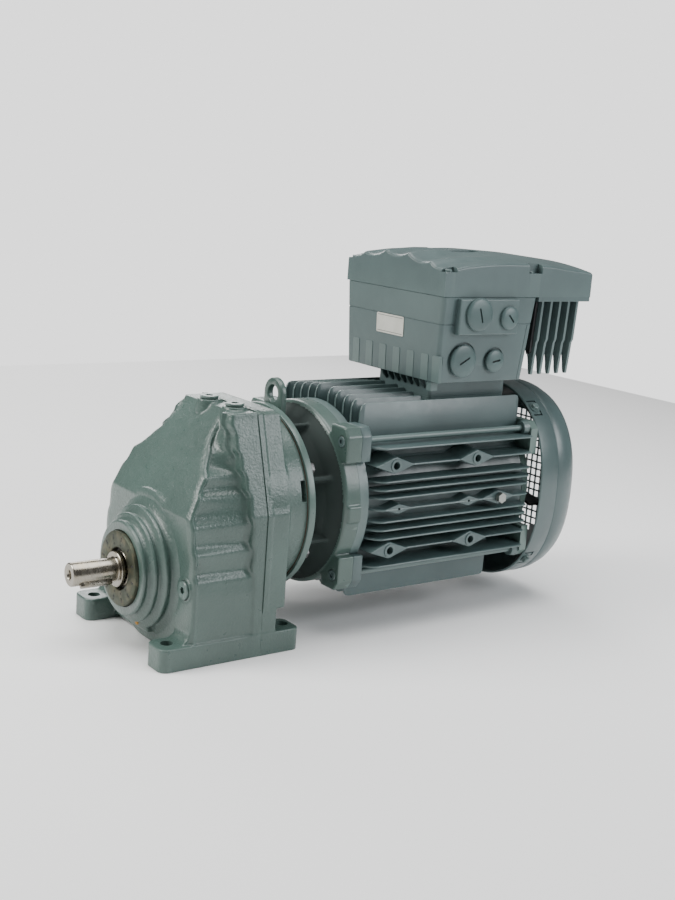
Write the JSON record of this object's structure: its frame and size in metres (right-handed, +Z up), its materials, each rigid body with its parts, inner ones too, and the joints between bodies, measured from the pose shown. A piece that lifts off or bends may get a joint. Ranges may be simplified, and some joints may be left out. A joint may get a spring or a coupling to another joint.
{
  "type": "inline gear reducer",
  "caption": "Foot-mounted helical gearmotor: parallel-shaft gear case with plain output shaft, finned motor and a drive inverter on top.",
  "frame": {"origin": "middle of the bounding box at the height of the foot undersides", "axes": "+X runs from the output shaft towards the fan, -X out of the output shaft, +Z up, -Y is the side with the cable plugs"},
  "size_m": [0.62, 0.223, 0.4197],
  "materials": {
    "gear_case_front": "semi-gloss grey-green machine paint over cast iron",
    "gear_case_rear": "semi-gloss grey-green machine paint over cast iron",
    "output_shaft": "bright machined steel",
    "output_key": "bright machined steel",
    "output_gear": "ground steel",
    "gear_key": "bright machined steel",
    "gear_retaining_ring": "black oxide spring steel",
    "front_bearing_outer_ring": "polished bearing steel",
    "front_bearing_inner_ring": "polished bearing steel",
    "rear_bearing_outer_ring": "polished bearing steel",
    "rear_bearing_inner_ring": "polished bearing steel",
    "drive_end_bearing_outer_ring": "polished bearing steel",
    "drive_end_bearing_inner_ring": "polished bearing steel",
    "fan_end_bearing_outer_ring": "polished bearing steel",
    "fan_end_bearing_inner_ring": "polished bearing steel",
    "output_shaft_seal": "matte nitrile rubber",
    "seal_cover_disc": "dull zinc-grey steel disc",
    "oil_level_plug": "semi-gloss grey-green machine paint on steel",
    "vent_plug": "semi-gloss grey-green machine paint on steel",
    "oil_fill_plug": "semi-gloss grey-green machine paint on steel",
    "lifting_eye": "semi-gloss grey-green machine paint on steel",
    "drive_end_shield": "semi-gloss grey-green machine paint over die-cast aluminium",
    "flange_bolt_1": "zinc plated steel",
    "flange_bolt_2": "zinc plated steel",
    "flange_bolt_3": "zinc plated steel",
    "flange_bolt_4": "zinc plated steel",
    "motor_shaft": "bright machined steel",
    "pinion": "ground steel",
    "motor_shaft_seal": "matte nitrile rubber",
    "rotor_core": "stacked electrical steel",
    "stator_core": "stacked electrical steel",
    "winding_drive_end": "varnished copper wire",
    "winding_fan_end": "varnished copper wire",
    "stator_frame": "semi-gloss grey-green machine paint over die-cast aluminium",
    "fan_end_shield": "semi-gloss grey-green machine paint over die-cast aluminium",
    "tie_rod_1": "painted steel rod",
    "tie_rod_2": "painted steel rod",
    "tie_rod_3": "painted steel rod",
    "tie_rod_4": "painted steel rod",
    "fan": "matte black moulded plastic",
    "fan_cowl": "semi-gloss grey-green machine paint on steel",
    "earth_bolt_near": "dull zinc plated steel",
    "earth_bolt_far": "dull zinc plated steel",
    "terminal_box": "semi-gloss grey-green machine paint over die-cast aluminium",
    "cable_plug_upper_large": "satin grey-green",
    "cable_plug_upper_small": "satin grey-green",
    "cable_plug_lower_large": "satin grey-green",
    "cable_plug_lower_small": "satin grey-green",
    "inverter_cover": "semi-gloss grey-green machine paint over die-cast aluminium",
    "inverter_board": "green circuit board",
    "terminal_block": "black moulded plastic",
    "label_plate": "satin white sticker"
  },
  "bodies": {
    "unit": {"gear_case_front": "gear_case_front", "gear_case_rear": "gear_case_rear", "front_bearing_outer_ring": "front_bearing_outer_ring", "rear_bearing_outer_ring": "rear_bearing_outer_ring", "drive_end_bearing_outer_ring": "drive_end_bearing_outer_ring", "fan_end_bearing_outer_ring": "fan_end_bearing_outer_ring", "output_shaft_seal": "output_shaft_seal", "seal_cover_disc": "seal_cover_disc", "oil_level_plug": "oil_level_plug", "vent_plug": "vent_plug", "oil_fill_plug": "oil_fill_plug", "lifting_eye": "lifting_eye", "drive_end_shield": "drive_end_shield", "flange_bolt_1": "flange_bolt_1", "flange_bolt_2": "flange_bolt_2", "flange_bolt_3": "flange_bolt_3", "flange_bolt_4": "flange_bolt_4", "motor_shaft_seal": "motor_shaft_seal", "stator_core": "stator_core", "winding_drive_end": "winding_drive_end", "winding_fan_end": "winding_fan_end", "stator_frame": "stator_frame", "fan_end_shield": "fan_end_shield", "tie_rod_1": "tie_rod_1", "tie_rod_2": "tie_rod_2", "tie_rod_3": "tie_rod_3", "tie_rod_4": "tie_rod_4", "fan_cowl": "fan_cowl", "earth_bolt_near": "earth_bolt_near", "earth_bolt_far": "earth_bolt_far", "terminal_box": "terminal_box", "cable_plug_upper_large": "cable_plug_upper_large", "cable_plug_upper_small": "cable_plug_upper_small", "cable_plug_lower_large": "cable_plug_lower_large", "cable_plug_lower_small": "cable_plug_lower_small", "inverter_cover": "inverter_cover", "inverter_board": "inverter_board", "terminal_block": "terminal_block", "label_plate": "label_plate"},
    "rotor": {"motor_shaft": "motor_shaft", "pinion": "pinion", "rotor_core": "rotor_core", "drive_end_bearing_inner_ring": "drive_end_bearing_inner_ring", "fan_end_bearing_inner_ring": "fan_end_bearing_inner_ring", "fan": "fan"},
    "output": {"output_shaft": "output_shaft", "output_key": "output_key", "output_gear": "output_gear", "gear_key": "gear_key", "gear_retaining_ring": "gear_retaining_ring", "front_bearing_inner_ring": "front_bearing_inner_ring", "rear_bearing_inner_ring": "rear_bearing_inner_ring"}
  },
  "joints": [
    {"name": "motor_spin", "type": "hinge", "parent": "unit", "child": "rotor", "pos_m": [0, 0, 0.145], "axis": [1, 0, 0], "continuous": true},
    {"name": "output_spin", "type": "hinge", "parent": "unit", "child": "output", "pos_m": [0, 0, 0.08], "axis": [1, 0, 0], "continuous": true}
  ],
  "couplings": [
    {"joint": "output_spin", "follows": "motor_spin", "ratio": -0.3}
  ]
}
